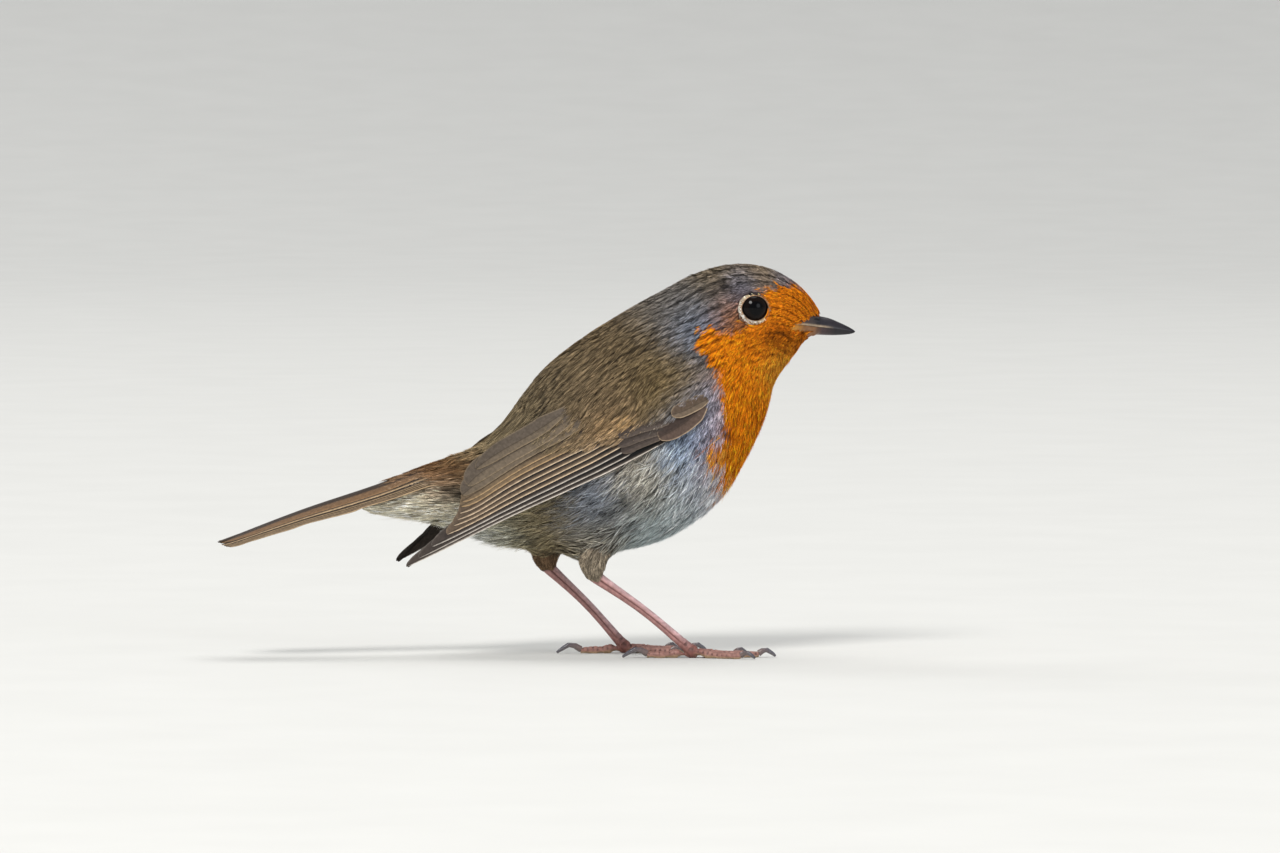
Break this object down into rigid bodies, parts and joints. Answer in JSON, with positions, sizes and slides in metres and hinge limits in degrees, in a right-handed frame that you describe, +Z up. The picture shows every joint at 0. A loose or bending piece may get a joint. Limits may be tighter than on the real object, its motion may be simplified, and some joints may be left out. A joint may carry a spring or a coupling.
{
  "type": "european robin, still model",
  "caption": "Life-size still model of a small round songbird with a slim pointed bill, orange face and breast, folded wings, thin bare legs and a short closed tail.",
  "frame": {"origin": "on the floor, under the middle of the length from bill tip to tail tip and midway between the wings", "axes": "+X towards the bill, +Y towards the bird's left side, +Z up"},
  "size_m": [0.131, 0.038, 0.0804],
  "materials": {
    "plumage_olive": "matte soft contour feathers",
    "plumage_orange": "matte soft contour feathers",
    "plumage_pale": "matte loose belly feathers",
    "flight_feathers": "satin stiff vanes with paler edges",
    "tail_feathers": "satin stiff vanes",
    "horn": "smooth horn with a soft sheen",
    "eye": "wet, mirror-like",
    "leg_skin": "thin scaled skin",
    "claw_horn": "smooth dark horn"
  },
  "bodies": {
    "root": {"bill_lower": "horn", "bill_upper": "horn", "claw_hind_left": "claw_horn", "claw_hind_right": "claw_horn", "claw_inner_left": "claw_horn", "claw_inner_right": "claw_horn", "claw_middle_left": "claw_horn", "claw_middle_right": "claw_horn", "claw_outer_left": "claw_horn", "claw_outer_right": "claw_horn", "eye_left": "eye", "eye_right": "eye", "head": "plumage_orange", "neck": "plumage_orange", "rump": "plumage_olive", "tail": "tail_feathers", "tarsus_left": "leg_skin", "tarsus_right": "leg_skin", "thigh_left": "plumage_olive", "thigh_right": "plumage_olive", "toe_hind_left": "leg_skin", "toe_hind_right": "leg_skin", "toe_inner_left": "leg_skin", "toe_inner_right": "leg_skin", "toe_middle_left": "leg_skin", "toe_middle_right": "leg_skin", "toe_outer_left": "leg_skin", "toe_outer_right": "leg_skin", "trunk": "plumage_pale", "undertail_coverts": "plumage_pale", "wing_coverts_left": "plumage_olive", "wing_coverts_right": "plumage_olive", "wing_primaries_left": "flight_feathers", "wing_primaries_right": "flight_feathers", "wing_secondaries_left": "flight_feathers", "wing_secondaries_right": "flight_feathers"}
  },
  "joints": []
}
